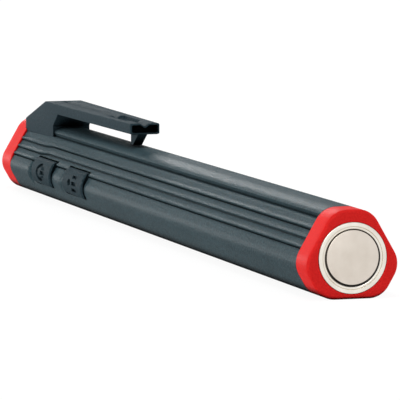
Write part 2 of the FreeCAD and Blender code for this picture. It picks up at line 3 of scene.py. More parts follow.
import bmesh
import bpy
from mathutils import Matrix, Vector


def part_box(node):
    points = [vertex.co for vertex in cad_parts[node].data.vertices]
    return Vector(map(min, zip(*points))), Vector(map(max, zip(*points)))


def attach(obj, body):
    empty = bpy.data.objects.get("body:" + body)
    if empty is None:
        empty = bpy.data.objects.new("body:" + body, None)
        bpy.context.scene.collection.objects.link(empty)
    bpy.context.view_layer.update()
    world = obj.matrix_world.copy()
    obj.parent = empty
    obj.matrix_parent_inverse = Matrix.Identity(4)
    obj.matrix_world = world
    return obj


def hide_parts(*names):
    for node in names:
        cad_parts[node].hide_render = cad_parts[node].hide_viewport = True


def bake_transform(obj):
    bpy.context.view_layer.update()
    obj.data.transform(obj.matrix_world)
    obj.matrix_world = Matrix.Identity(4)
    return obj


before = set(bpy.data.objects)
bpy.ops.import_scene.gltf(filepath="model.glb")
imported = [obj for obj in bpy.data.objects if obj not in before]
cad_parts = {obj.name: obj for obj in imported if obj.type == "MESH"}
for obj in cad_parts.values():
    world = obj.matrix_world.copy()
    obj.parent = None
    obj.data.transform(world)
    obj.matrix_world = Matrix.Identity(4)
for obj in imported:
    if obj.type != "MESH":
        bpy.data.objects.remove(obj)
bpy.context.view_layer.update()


# ---- Body tube ----------------------------------------------------------------------
# The handle is one tube of dark slate ABS, injection moulded.  Its section is a triangle
# with a rounded lobe at each corner, and each long face has a shallow channel with three
# raised ribs that run the whole length and bend round the foot of the clip.

MM = 0.001


def size_of(node):
    """A CAD node's lowest and highest corners in millimetres."""
    low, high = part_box(node)
    return low / MM, high / MM


TUBE_REAR, TUBE_FRONT = (corner.x for corner in size_of("body_tube"))
AXIS_HEIGHT = sum(corner.z for corner in size_of("magnet_disc")) / 2
# Clearance between pieces that slide or are pressed into each other.
FIT_GAP = 0.06
# From the axis to a long face, to a lobe and to the bore's wall, and the radius of the six
# corners between faces and lobes.
FACE = AXIS_HEIGHT
LOBE = size_of("body_tube")[1].z - AXIS_HEIGHT
BORE = size_of("contact_carrier")[1].y + FIT_GAP
CORNER = 3.65
# Rounding of the tube's end edges, and the thinnest wall that a hollow may leave.
WALL_EDGE = 0.12
THINNEST = 0.35
# Edges that turn by more degrees than this stay sharp.
SHARP_ANGLE = 32


def add_object(name, points, faces, sharp_angle=SHARP_ANGLE):
    """A mesh piece from points in millimetres, x in the row frame and y, z from the axis."""
    mesh = bpy.data.meshes.new(name)
    mesh.from_pydata([(x * MM, y * MM, (z + AXIS_HEIGHT) * MM) for x, y, z in points], [], faces)
    mesh.validate()
    shape = bmesh.new()
    shape.from_mesh(mesh)
    bmesh.ops.recalc_face_normals(shape, faces=shape.faces)
    shape.to_mesh(mesh)
    shape.free()
    mesh.shade_smooth()
    mesh.set_sharp_from_angle(angle=math.radians(sharp_angle))
    piece = bpy.data.objects.new(name, mesh)
    bpy.context.scene.collection.objects.link(piece)
    return piece


def loft(name, rings, closed=False, sharp_angle=SHARP_ANGLE):
    """A skin over rings of equally many points; open ends are capped, closed ones joined."""
    count = len(rings[0])
    points = [point for ring in rings for point in ring]
    faces = []
    spans = len(rings) if closed else len(rings) - 1
    for ring in range(spans):
        near, far = ring * count, (ring + 1) % len(rings) * count
        for index in range(count):
            following = (index + 1) % count
            faces.append((near + index, near + following, far + following, far + index))
    if not closed:
        faces.append(tuple(reversed(range(count))))
        faces.append(tuple(range((len(rings) - 1) * count, len(rings) * count)))
    return add_object(name, points, faces, sharp_angle)


def apply_modifiers(piece):
    """Replaces a piece's mesh by the one its modifiers make."""
    depsgraph = bpy.context.evaluated_depsgraph_get()
    mesh = bpy.data.meshes.new_from_object(piece.evaluated_get(depsgraph))
    piece.modifiers.clear()
    piece.data = mesh


def combine(piece, tool, operation):
    """Cuts a tool out of a piece, or joins it on, and removes the tool."""
    modifier = piece.modifiers.new(operation.lower(), "BOOLEAN")
    modifier.operation = operation
    modifier.object = tool
    modifier.solver = "MANIFOLD"
    apply_modifiers(piece)
    bpy.data.objects.remove(tool)
    piece.data.shade_smooth()
    piece.data.set_sharp_from_angle(angle=math.radians(SHARP_ANGLE))


def smooth_step(value, start, end):
    """0 before start, 1 after end, and an even curve between."""
    share = min(max((value - start) / (end - start), 0), 1)
    return share * share * (3 - 2 * share)


def between(value, table):
    """Straight-line interpolation in a list of (place, amount)."""
    for (low, first), (high, second) in zip(table, table[1:]):
        if value <= high:
            share = min(max((value - low) / (high - low), 0), 1)
            return first + (second - first) * share
    return table[-1][1]


def turned_vector(angle):
    """The unit vector at this angle in degrees, as across and up."""
    return math.cos(math.radians(angle)), math.sin(math.radians(angle))


def face_flat(own, other, corner=CORNER):
    """Half the flat width of a side at distance 'own' between sides at distance 'other'."""
    return (2 * other - own - corner) / math.sqrt(3)


# The place given to points on a lobe, which is past the ends of both depth tables.
BEYOND_FACE = 9.0


def section_samples(face_places, corner_steps=14, lobe_steps=2):
    """The outline, anticlockwise: (nearest long face's angle, place along it, spot, normal)."""
    samples = []
    flat = face_flat(FACE, LOBE)
    for angle in (30, 150, 270):
        normal, along = turned_vector(angle), turned_vector(angle + 90)
        for side in (-1, 0, 1):
            if side == 0:
                for place in face_places[angle]:
                    spot = [FACE * normal[axis] + place * along[axis] for axis in (0, 1)]
                    samples.append((angle, place, spot, normal))
                continue
            centre = [(FACE - CORNER) * normal[axis] + side * flat * along[axis] for axis in (0, 1)]
            for step in range(corner_steps + 1):
                share = step / corner_steps
                turn = angle + (60 * (share - 1) if side < 0 else 60 * share)
                facing = turned_vector(turn)
                spot = [centre[axis] + CORNER * facing[axis] for axis in (0, 1)]
                place = spot[0] * along[0] + spot[1] * along[1]
                samples.append((angle, place, spot, facing))
        lobe_normal, lobe_along = turned_vector(angle + 60), turned_vector(angle + 150)
        for step in range(1, lobe_steps + 1):
            place = face_flat(LOBE, FACE) * (2 * step / (lobe_steps + 1) - 1)
            spot = [LOBE * lobe_normal[axis] + place * lobe_along[axis] for axis in (0, 1)]
            samples.append((angle, BEYOND_FACE, spot, lobe_normal))
    return samples


# Depth of the channel under the outline, across one sloping face from the top lobe down.
# Each rib rises slowly to a crest and drops in a short step.
RIB_PITCH = 1.63
RIB_CRESTS = [0.52 + rib * RIB_PITCH for rib in (-1, 0, 1)]
SIDE_DEPTH = [(-4.3, 0.0), (-4.0, 0.06), (-3.8, 0.16), (-3.55, 0.90), (-3.40, 0.95), (-3.05, 0.50),
              (-2.6, 0.40), (-2.0, 0.36)]
for crest in RIB_CRESTS:
    SIDE_DEPTH += [(crest - 0.66, 0.32), (crest - 0.50, 0.22), (crest - 0.35, 0.11),
                   (crest - 0.22, 0.05), (crest - 0.12, 0.06), (crest - 0.06, 0.14),
                   (crest + 0.04, 0.62), (crest + 0.12, 0.54), (crest + 0.21, 0.41),
                   (crest + 0.45, 0.37)]
SIDE_DEPTH += [(3.2, 0.33), (3.7, 0.20), (4.2, 0.08), (4.7, 0.0)]
BOTTOM_DEPTH = [(-3.7, 0.0), (-3.2, 0.05), (-2.8, 0.28), (-2.5, 0.33)]
for crest in (-RIB_PITCH, 0, RIB_PITCH):
    BOTTOM_DEPTH += [(crest - 0.4, 0.33), (crest - 0.22, 0.22), (crest - 0.1, 0.08),
                     (crest + 0.1, 0.08), (crest + 0.22, 0.22), (crest + 0.4, 0.33)]
BOTTOM_DEPTH += [(2.5, 0.33), (2.8, 0.28), (3.2, 0.05), (3.7, 0.0)]

# Beside the clip the ribs lie lower by RIB_BEND, and they come back round the front end of its
# foot.  The shift grows from none near the top lobe to the whole of it lower on the face.
CLIP_FOOT_X = size_of("clip_base")[1].x
RIB_BEND = 0.33
BEND_BEFORE, BEND_AFTER = 5, 2
BEND_NONE, BEND_WHOLE = -3.0, -1.4


def rib_shift(x, place):
    """How far the ribs step down the face where they pass the foot of the clip."""
    beside_clip = 1 - smooth_step(x, CLIP_FOOT_X - BEND_BEFORE, CLIP_FOOT_X + BEND_AFTER)
    return RIB_BEND * beside_clip * smooth_step(place, BEND_NONE, BEND_WHOLE)


KEYS = {"rear_key": "rear_button", "front_key": "front_button"}
KEY_BOXES = {node: size_of(node) for node in KEYS}
KEY_LIP = 0.6
KEY_TOP = KEY_BOXES["rear_key"][1].z - AXIS_HEIGHT
KEY_BOTTOM = KEY_BOXES["rear_key"][0].z - AXIS_HEIGHT

# The hollow behind each key: its depth, its middle and half its height on the tube's side, and
# where it starts, is full, fades and ends, counted from the key's rear edge.
DIP_DEPTHS = {"rear_key": 0.95, "front_key": 0.3}
DIP_MIDDLE, DIP_HALF = -0.9, 2.6
DIP_START, DIP_FULL, DIP_FADE, DIP_END = -2.7, -1.3, 0.5, 1.5
# Only the side where y is below this has keys.
KEY_SIDE = -3


def finger_dip(x, y, z):
    """Depth of the soft hollow moulded behind each key for the fingertip."""
    across = abs(z - DIP_MIDDLE) / DIP_HALF
    if y > KEY_SIDE or across >= 1:
        return 0
    depth = 0
    for node, deepest in DIP_DEPTHS.items():
        rear_edge = KEY_BOXES[node][0].x + KEY_LIP
        along = smooth_step(x, rear_edge + DIP_START, rear_edge + DIP_FULL)
        along *= 1 - smooth_step(x, rear_edge + DIP_FADE, rear_edge + DIP_END)
        depth += deepest * along * (1 - across ** 4) ** 2
    return depth


def tube_ring(x, samples, inset=0.0):
    """One ring of the tube's outside at this x."""
    ring = []
    for angle, place, spot, normal in samples:
        y, z = spot
        if angle == 270:
            depth = between(place, BOTTOM_DEPTH)
        else:
            downhill = place if angle == 150 else -place
            depth = between(downhill, SIDE_DEPTH)
            shift = rib_shift(x, downhill)
            if abs(downhill) < face_flat(FACE, LOBE):
                direction = turned_vector(angle + 90)
                slide = shift if angle == 150 else -shift
                y += slide * direction[0]
                z += slide * direction[1]
        depth += inset + finger_dip(x, y, z)
        ahead = y * normal[0] + z * normal[1]
        aside = math.sqrt(max(y * y + z * z - ahead * ahead, 0))
        if aside < BORE + THINNEST:
            depth = min(depth, ahead - math.sqrt((BORE + THINNEST) ** 2 - aside ** 2))
        ring.append((x, y - depth * normal[0], z - depth * normal[1]))
    return ring


def bore_ring(x, samples, radius):
    """A circle whose points stand at the same angles as the outline's."""
    ring = []
    for _, _, (y, z), _ in samples:
        length = math.hypot(y, z)
        ring.append((x, y * radius / length, z * radius / length))
    return ring


def rib_places(table, mirrored):
    """The places on a face where its section is sampled: every corner of the depth table."""
    flat = face_flat(FACE, LOBE)
    places = [place for place, _ in table if abs(place) < flat - 0.03]
    return [-place for place in reversed(places)] if mirrored else places


TUBE_SAMPLES = section_samples({30: rib_places(SIDE_DEPTH, True), 150: rib_places(SIDE_DEPTH, False),
                                270: rib_places(BOTTOM_DEPTH, False)})

# The tube's rings stand close together round the keys, where the hollows are.
FINE_STEP, COARSE_STEP = 0.6, 2.0
BORE_SPANS = 12
key_zone_start = KEY_BOXES["rear_key"][0].x - 4
key_zone_end = KEY_BOXES["front_key"][1].x + 1
stations = [TUBE_REAR + WALL_EDGE]
while stations[-1] < TUBE_FRONT - WALL_EDGE - COARSE_STEP:
    near_keys = key_zone_start < stations[-1] < key_zone_end
    stations.append(stations[-1] + (FINE_STEP if near_keys else COARSE_STEP))
stations.append(TUBE_FRONT - WALL_EDGE)
rings = [tube_ring(TUBE_REAR, TUBE_SAMPLES, WALL_EDGE)]
rings += [tube_ring(x, TUBE_SAMPLES) for x in stations]
rings.append(tube_ring(TUBE_FRONT, TUBE_SAMPLES, WALL_EDGE))
rings.append(bore_ring(TUBE_FRONT, TUBE_SAMPLES, BORE + WALL_EDGE))
rings.append(bore_ring(TUBE_FRONT - WALL_EDGE, TUBE_SAMPLES, BORE))
for step in range(1, BORE_SPANS):
    x = TUBE_FRONT + (TUBE_REAR - TUBE_FRONT) * step / BORE_SPANS
    rings.append(bore_ring(x, TUBE_SAMPLES, BORE))
rings.append(bore_ring(TUBE_REAR, TUBE_SAMPLES, BORE))
tube = loft("tube_shell", rings, closed=True)


def rounded_block(name, low, high, radius, axis):
    """A block whose four edges along one axis are rounded, for cutting windows."""
    flat = [other for other in range(3) if other != axis]
    corners = []
    for quarter in range(4):
        side = [(1, 1), (-1, 1), (-1, -1), (1, -1)][quarter]
        centre = [(high if side[k] > 0 else low)[flat[k]] - side[k] * radius for k in (0, 1)]
        for step in range(5):
            direction = turned_vector(90 * quarter + 22.5 * step)
            corners.append([centre[k] + radius * direction[k] for k in (0, 1)])
    rings = []
    for level in (low[axis], high[axis]):
        ring = []
        for corner in corners:
            point = [0, 0, 0]
            point[axis] = level
            point[flat[0]], point[flat[1]] = corner
            ring.append(tuple(point))
        rings.append(ring)
    return loft(name, rings)


# The gap above and in front of each key, and the tighter one below and behind it.
KEY_GAP = 0.28
KEY_SNUG = 0.12
WINDOW_OUTSIDE, WINDOW_INSIDE = -9.0, -3.9
WINDOW_CORNER = 0.3
for node, (low, high) in KEY_BOXES.items():
    window_low = (low.x + KEY_LIP - KEY_SNUG, WINDOW_OUTSIDE, KEY_BOTTOM - KEY_SNUG)
    window_high = (high.x - KEY_LIP + KEY_GAP, WINDOW_INSIDE, KEY_TOP + KEY_GAP)
    cutter = rounded_block("window_cutter", window_low, window_high, WINDOW_CORNER, 1)
    combine(tube, cutter, "DIFFERENCE")


def linear(hex_colour):
    """An sRGB hex colour as linear red, green, blue and alpha."""
    shares = [int(hex_colour[place:place + 2], 16) / 255 for place in (1, 3, 5)]
    return [s / 12.92 if s <= 0.04045 else ((s + 0.055) / 1.055) ** 2.4 for s in shares] + [1.0]


def add_node(material, kind, inputs=None, ramp=None, **settings):
    """Adds a shader node with its settings, its socket values or links, and a colour ramp."""
    node = material.node_tree.nodes.new("ShaderNode" + kind)
    for name, value in settings.items():
        setattr(node, name, value)
    for socket, value in (inputs or {}).items():
        if isinstance(value, bpy.types.NodeSocket):
            material.node_tree.links.new(value, node.inputs[socket])
        else:
            node.inputs[socket].default_value = value
    if ramp:
        while len(node.color_ramp.elements) < len(ramp):
            node.color_ramp.elements.new(0.5)
        for element, (place, colour) in zip(node.color_ramp.elements, ramp):
            element.position = place
            element.color = colour
    return node


def new_material(name, **sockets):
    """A material with its principled shader, whose uniform values sit on its own sockets."""
    material = bpy.data.materials.new(name)
    material.use_nodes = True
    shader = material.node_tree.nodes["Principled BSDF"]
    for socket, value in sockets.items():
        shader.inputs[socket.replace("_", " ")].default_value = value
    return material, shader


def link(material, source, target):
    """Joins an output socket to an input socket."""
    material.node_tree.links.new(source, target)


def moulded(name, dark, light, grain, relief, roughness, sheen=0.008):
    """Injection-moulded plastic from a spark-eroded mould: a fine even grain, in millimetres,
    that breaks up the highlight into a satin sheen.  The real grain is about 0.1 mm, too fine
    to show, so it is drawn coarser.  Slow flow of the melt shifts the tone a little over
    14 mm.  Painted shade: ambient occlusion darkens the colour in corners, slots and under
    overhangs, and makes them duller."""
    material, shader = new_material(name, IOR=1.53, Specular_IOR_Level=sheen)
    place = add_node(material, "TexCoord").outputs["Object"]
    spark = add_node(material, "TexNoise", {"Vector": place, "Scale": 1 / (grain * MM), "Detail": 3.0,
                                            "Roughness": 0.6})
    flow = add_node(material, "TexNoise", {"Vector": place, "Scale": 1 / (14 * MM), "Detail": 2.0})
    even = add_node(material, "MapRange", {"Value": flow.outputs["Fac"], "To Min": 0.44, "To Max": 0.56})
    tone = add_node(material, "Math", {0: spark.outputs["Fac"], 1: even.outputs[0]},
                    operation="MULTIPLY")
    colour = add_node(material, "ValToRGB", {"Fac": tone.outputs[0]},
                      ramp=[(0.14, linear(dark)), (0.36, linear(light))])
    # Painted shade: the colour is darkened where ambient occlusion finds corners, slots and overhangs.
    occlusion = add_node(material, "AmbientOcclusion", {"Distance": 3.6 * MM}, samples=8)
    painted_shade_factor = add_node(material, "MapRange", {"Value": occlusion.outputs["AO"], "From Min": 0.22,
                                            "From Max": 0.62, "To Min": 0.04})
    painted_shade_colour = add_node(material, "HueSaturation", {"Value": painted_shade_factor.outputs[0],
                                                  "Color": colour.outputs["Color"]})
    gloss = add_node(material, "MapRange", {"Value": spark.outputs["Fac"], "From Min": 0.3,
                                            "From Max": 0.7, "To Min": roughness - 0.07,
                                            "To Max": roughness + 0.09})
    bump = add_node(material, "Bump", {"Height": spark.outputs["Fac"], "Strength": relief,
                                       "Distance": 0.10 * MM})
    # film is the occluded share, which raises the roughness where the colour has painted shade.
    film = add_node(material, "Math", {0: 1.0, 1: painted_shade_factor.outputs[0]}, operation="SUBTRACT")
    matt = add_node(material, "Math", {0: gloss.outputs[0], 1: film.outputs[0]}, operation="MAXIMUM")
    link(material, painted_shade_colour.outputs["Color"], shader.inputs["Base Color"])
    link(material, matt.outputs[0], shader.inputs["Roughness"])
    link(material, bump.outputs["Normal"], shader.inputs["Normal"])
    return material


slate_abs = moulded("slate_abs_moulded", "#222f34", "#41545a", grain=0.38, relief=1.4,
                    roughness=0.46)


def finish_piece(piece, material, body, slot, *nodes):
    """Gives a piece its material and body, and hides the CAD nodes it stands for; slot is not used."""
    piece.data.materials.clear()
    piece.data.materials.append(material)
    if body:
        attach(piece, body)
    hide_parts(*nodes)


finish_piece(tube, slate_abs, "handle", "body_plastic", "body_tube")


# ---- Push keys ----------------------------------------------------------------------
# Two separate ABS pads that fill windows in the tube's side.  Each stands proud towards
# its front end, is crowned for the fingertip, and has a plain sign sunk into it.

def outline_y(z, grow):
    """The outline's y on the -Y side at this height, when it is grown by an amount."""
    spots = []
    for angle in range(120, 241, 3):
        turn = turned_vector(angle)
        nearest = 150 if angle <= 180 else 210
        distance = FACE if nearest == 150 else LOBE
        normal, along = turned_vector(nearest), turned_vector(nearest + 90)
        if 150 < angle < 210:
            long_normal, long_along = turned_vector(150), turned_vector(240)
            flat = face_flat(FACE, LOBE)
            centre = [(FACE - CORNER) * long_normal[axis] + flat * long_along[axis] for axis in (0, 1)]
            spots.append([centre[axis] + (CORNER + grow) * turn[axis] for axis in (0, 1)])
        else:
            other = LOBE if nearest == 150 else FACE
            reach = face_flat(distance, other) * (-1 if nearest == 150 else 1) * abs(angle - 180) / 60
            spots.append([(distance + grow) * normal[axis] + reach * along[axis] for axis in (0, 1)])
    spots.sort(key=lambda spot: spot[1])
    return between(z, [(spot[1], spot[0]) for spot in spots])


def ring_sign(along, across):
    """A circle with a gap and a short bar in it: 1 where the sign is and 0 beside it."""
    reach = math.hypot(along, across)
    on_circle = abs(reach - 1.2) < 0.3 and not (abs(across) < 0.5 and along > 0)
    on_bar = abs(across) < 0.26 and 0.1 < along < 1.6
    return 1 if on_circle or on_bar else 0


def ray_sign(along, across):
    """A dot with three bars beside it: 1 where the sign is and 0 beside it."""
    on_dot = math.hypot(along + 0.9, across) < 0.55
    on_bar = 0.1 < along < 1.6 and min(abs(across - row) for row in (-1.1, 0, 1.1)) < 0.24
    return 1 if on_dot or on_bar else 0


key_abs = moulded("slate_key_abs_moulded", "#1b262a", "#33434a", grain=0.5, relief=1.6, roughness=0.6,
                  sheen=0.005)
KEY_BACK = -(BORE - 0.15)
# A key rises from KEY_FLUSH behind its rear edge to KEY_PROUD near its front, and is crowned.
KEY_PROUD, KEY_FLUSH = 0.45, 0.02
KEY_CROWN = 0.10
# Width and depth of the rounding along its edges.
KEY_EDGE, KEY_ROUND = 0.35, 0.22
# Length and thickness of the thin rim that overhangs its front.
KEY_OVERHANG, KEY_RIM = 0.55, 0.14
# One unit of a sign along and across the key, and how deep it is sunk.
SIGN_ALONG, SIGN_ACROSS = 1.9, 1.05
SIGN_DEPTH = 0.42


def make_key_pad(node, sign):
    """The pad: a crowned top with its sign, straight sides and an overhanging front rim."""
    low, high = KEY_BOXES[node]
    rear, front = low.x + KEY_LIP, high.x - KEY_LIP
    middle = (rear + front) / 2
    centre_z = (KEY_TOP + KEY_BOTTOM) / 2
    across_count, along_count = 38, 96
    rings = []
    for step in range(along_count + 1):
        x = rear + (front - rear) * step / along_count
        share = step / along_count
        ring = []
        for row in range(across_count + 1):
            z = KEY_BOTTOM + (KEY_TOP - KEY_BOTTOM) * row / across_count
            edge = min(x - rear, z - KEY_BOTTOM, KEY_TOP - z)
            lip = min(edge, front - x)
            round_off = KEY_ROUND * (1 - smooth_step(lip, 0, KEY_EDGE)) ** 2
            proud = KEY_FLUSH + (KEY_PROUD - KEY_FLUSH) * smooth_step(share, -0.35, 0.95)
            crown = KEY_CROWN * math.sin(math.pi * (z - KEY_BOTTOM) / (KEY_TOP - KEY_BOTTOM))
            sunk = SIGN_DEPTH * sign((x - middle) / SIGN_ALONG, (z - centre_z) / SIGN_ACROSS)
            y = outline_y(z, min(proud + crown, KEY_PROUD) - round_off - sunk)
            ring.append((x, y, z))
        overhang = front - x < KEY_OVERHANG
        for _, y, z in list(reversed(ring)):
            ring.append((x, y + KEY_RIM if overhang else KEY_BACK, z))
        rings.append(ring)
    return loft(node + "_pad", rings)


for node, sign in (("rear_key", ring_sign), ("front_key", ray_sign)):
    pad = make_key_pad(node, sign)
    finish_piece(pad, key_abs, KEYS[node], "body_plastic", node)


# ---- Pocket clip --------------------------------------------------------------------
# One nylon moulding: a block astride the top lobe, an arm that springs over a pocket's edge
# and a rib-shaped hook under its tip.

clip_nylon = moulded("slate_nylon_moulded", "#233137", "#303f46", grain=0.45, relief=0.6,
                     roughness=0.6, sheen=0.004)
base_low, base_high = size_of("clip_base")
CLIP_REAR, CLIP_ROOT, CLIP_TIP = base_low.x, base_high.x, size_of("clip_arm")[1].x
CLIP_TOP = base_high.z - AXIS_HEIGHT
CLIP_PEAK = CLIP_REAR + 13.0
FOOT_END = CLIP_REAR + 18.4
REAR_HALF = base_high.y
TIP_HALF = 2.7
TIP_DROP = 0.06
ARM_UNDER = LOBE + 2.41
TAIL_TOP = LOBE + 0.38
SKIRT = LOBE - 2.1
CLIP_EDGE = 0.3
# The groove along the top: half width, depth and flat share of its floor, first as it is, then
# in the recess near the tip, whose floor is rippled across.
GROOVE_HALF, GROOVE_DEPTH, GROOVE_FLAT = 0.75, 0.5, 0.18
RECESS_START, RECESS_END = CLIP_REAR + 48.6, CLIP_REAR + 60.6
RECESS_RAMP = 0.7
RECESS_HALF, RECESS_DEPTH, RECESS_FLAT = 1.5, 0.75, 0.8
RIPPLE_PITCH, RIPPLE_HEIGHT = 1.5, 0.3


def clip_half(x):
    """Half the clip's width at this x."""
    return REAR_HALF + (TIP_HALF - REAR_HALF) * (x - CLIP_REAR) / (CLIP_TIP - CLIP_REAR)


def clip_crown(x):
    """Height of the clip's top, which rises from its tail and falls gently to its tip."""
    if x < CLIP_PEAK:
        return TAIL_TOP + (CLIP_TOP - TAIL_TOP) * (x - CLIP_REAR) / (CLIP_PEAK - CLIP_REAR)
    return CLIP_TOP - TIP_DROP * (x - CLIP_PEAK) / (CLIP_TIP - CLIP_PEAK)


def lobe_top(y):
    """Height of the tube's top lobe at this y, a little inside its skin."""
    flat = face_flat(LOBE, FACE)
    beyond = max(abs(y) - flat, 0)
    return LOBE - CORNER + math.sqrt(CORNER ** 2 - beyond ** 2) - 0.06


def clip_groove(x):
    """Half width, depth and flat share of the groove along the clip's top."""
    start = smooth_step(x, CLIP_PEAK + 0.6, CLIP_PEAK + 2.2)
    pocket = smooth_step(x, RECESS_START, RECESS_START + RECESS_RAMP)
    pocket *= 1 - smooth_step(x, RECESS_END - RECESS_RAMP, RECESS_END)
    ripple = 0.5 + 0.5 * math.cos((x - RECESS_START) * 2 * math.pi / RIPPLE_PITCH)
    deeper = RECESS_DEPTH - GROOVE_DEPTH - RIPPLE_HEIGHT * ripple * pocket
    depth = start * (GROOVE_DEPTH + pocket * deeper)
    half = GROOVE_HALF + (RECESS_HALF - GROOVE_HALF) * pocket
    return half, depth, GROOVE_FLAT + (RECESS_FLAT - GROOVE_FLAT) * pocket


def clip_ring(x, underside, inset=0.0):
    """The clip's section at x; underside is 'saddle', or the flat underside's height."""
    half = clip_half(x) - inset
    crown = clip_crown(x) - inset
    groove_half, groove_depth, flat = clip_groove(x)
    edge = CLIP_EDGE
    right = [(half, crown - edge), (half - edge * 0.1, crown - edge * 0.5),
             (half - edge * 0.5, crown - edge * 0.1), (half - edge, crown)]
    right += [(groove_half + 0.12, crown), (groove_half, crown - 0.04 * (groove_depth > 0.1)),
              (groove_half * flat, crown - groove_depth)]
    top = right + [(0, crown - groove_depth)] + [(-y, z) for y, z in reversed(right)]
    bottom = []
    for step in range(13):
        y = half * (step / 6 - 1)
        if underside == "saddle":
            level = SKIRT if step in (0, 12) else max(lobe_top(y), SKIRT)
        else:
            rounding = 0.15 if step in (0, 12) else 0
            level = underside + inset + rounding
        bottom.append((y, level))
    return [(x, y, z) for y, z in top + bottom]


# The block, whose foot tapers up into the arm, then the arm with its cored end.
TAIL_EDGE = 0.15
rings = [clip_ring(CLIP_REAR, "saddle", TAIL_EDGE), clip_ring(CLIP_REAR + TAIL_EDGE, "saddle")]
for step in range(1, 10):
    rings.append(clip_ring(CLIP_REAR + (CLIP_PEAK - CLIP_REAR) * step / 10, "saddle"))
for offset in (-0.25, -0.1, 0.1, 0.25):
    rings.append(clip_ring(CLIP_PEAK + offset, "saddle"))
for step in range(1, 10):
    rings.append(clip_ring(CLIP_PEAK + 0.25 + (FOOT_END - CLIP_PEAK - 0.25) * step / 9, "saddle"))
rings.append(clip_ring(FOOT_END, LOBE + 0.02))
for step in range(1, 9):
    share = step / 8
    rings.append(clip_ring(FOOT_END + (CLIP_ROOT - FOOT_END) * share,
                           LOBE + 0.02 + (ARM_UNDER - LOBE) * share))
x = CLIP_ROOT + 0.3
while x < CLIP_TIP - 0.4:
    rings.append(clip_ring(x, ARM_UNDER))
    x += 0.25 if RECESS_START - 1 < x < RECESS_END + 0.5 else 0.9
for offset, inset in ((0.25, 0.0), (0.08, 0.06), (0.0, 0.15), (0.0, 0.27), (2.2, 0.33)):
    rings.append(clip_ring(CLIP_TIP - offset, ARM_UNDER, inset))
clip = loft("pocket_clip", rings)

HOOK_START = CLIP_TIP - 6.0
HOOK_LOW, HOOK_TOP = LOBE + 0.15, ARM_UNDER + 0.2
HOOK_HALF, HOOK_EDGE = 0.87, 0.1
hook_outline = [(HOOK_START, HOOK_LOW), (HOOK_START + 1.2, HOOK_LOW),
                (HOOK_START + 5.0, HOOK_TOP), (HOOK_START, HOOK_TOP)]
hook_flank = HOOK_HALF - HOOK_EDGE
hook_rings = []
hook_levels = [(-HOOK_HALF, HOOK_EDGE), (-hook_flank, 0.0), (hook_flank, 0.0), (HOOK_HALF, HOOK_EDGE)]
for y, inset in hook_levels:
    centre_x = sum(point[0] for point in hook_outline) / 4
    centre_z = sum(point[1] for point in hook_outline) / 4
    hook_rings.append([(px + inset * (1 if px < centre_x else -1), y,
                        pz + inset * (1 if pz < centre_z else 0)) for px, pz in hook_outline])
combine(clip, loft("hook", hook_rings), "UNION")
clip.data.materials.clear()
clip.data.materials.append(clip_nylon)
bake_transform(clip)
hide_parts("clip_base", "clip_arm")


# ---- End caps -----------------------------------------------------------------------
# Two moulded red ABS caps with the tube's outline and a round spigot each.  The front one
# carries the magnet and pulls off to change the cells, and the rear one is pressed in and
# has the lamp's round window.

CAP_SAMPLES = section_samples({angle: [-1.6, -0.8, 0, 0.8, 1.6] for angle in (30, 150, 270)},
                              corner_steps=12, lobe_steps=1)


def cap_ring(x, inset=None, radius=None):
    """A ring of the cap: its outline moved in by inset, or a circle of this radius."""
    if radius is not None:
        return bore_ring(x, CAP_SAMPLES, radius)
    return [(x, y - inset * normal[0], z - inset * normal[1])
            for _, _, (y, z), normal in CAP_SAMPLES]


def cap_outside(end, joint, radius):
    """Rings from the rounded outer end to the joint with the tube."""
    inward = 1 if joint > end else -1
    rings = []
    for step in range(6, -1, -1):
        turn = math.radians(15 * step)
        rings.append(cap_ring(end + inward * radius * (1 - math.sin(turn)),
                              inset=radius * (1 - math.cos(turn))))
    for share in (0.35, 0.7):
        rings.append(cap_ring(end + (joint - end) * share, inset=0))
    rings.append(cap_ring(joint - inward * WALL_EDGE, inset=0))
    rings.append(cap_ring(joint, inset=WALL_EDGE))
    return rings


red_abs = moulded("red_abs_moulded", "#d82222", "#e62d2a", grain=0.3, relief=0.22, roughness=0.5)

front_low, front_high = size_of("front_cap")
pot_low, pot_high = size_of("magnet_pot")
# The seat that the magnet's cup is pressed into, the hole for its stud, and the spigot, whose
# groove holds the seal.
POT_RADIUS = pot_high.y
SEAT = POT_RADIUS + 0.02
SEAT_BACK = front_high.x - 4.5
SEAT_FLOOR = SEAT_BACK - 1.5
STUD_HOLE = 1.6
SPIGOT = BORE - FIT_GAP
SPIGOT_BORE = SPIGOT - 1.1
SPIGOT_EDGE = 0.3
SEAT_EDGE = 0.12
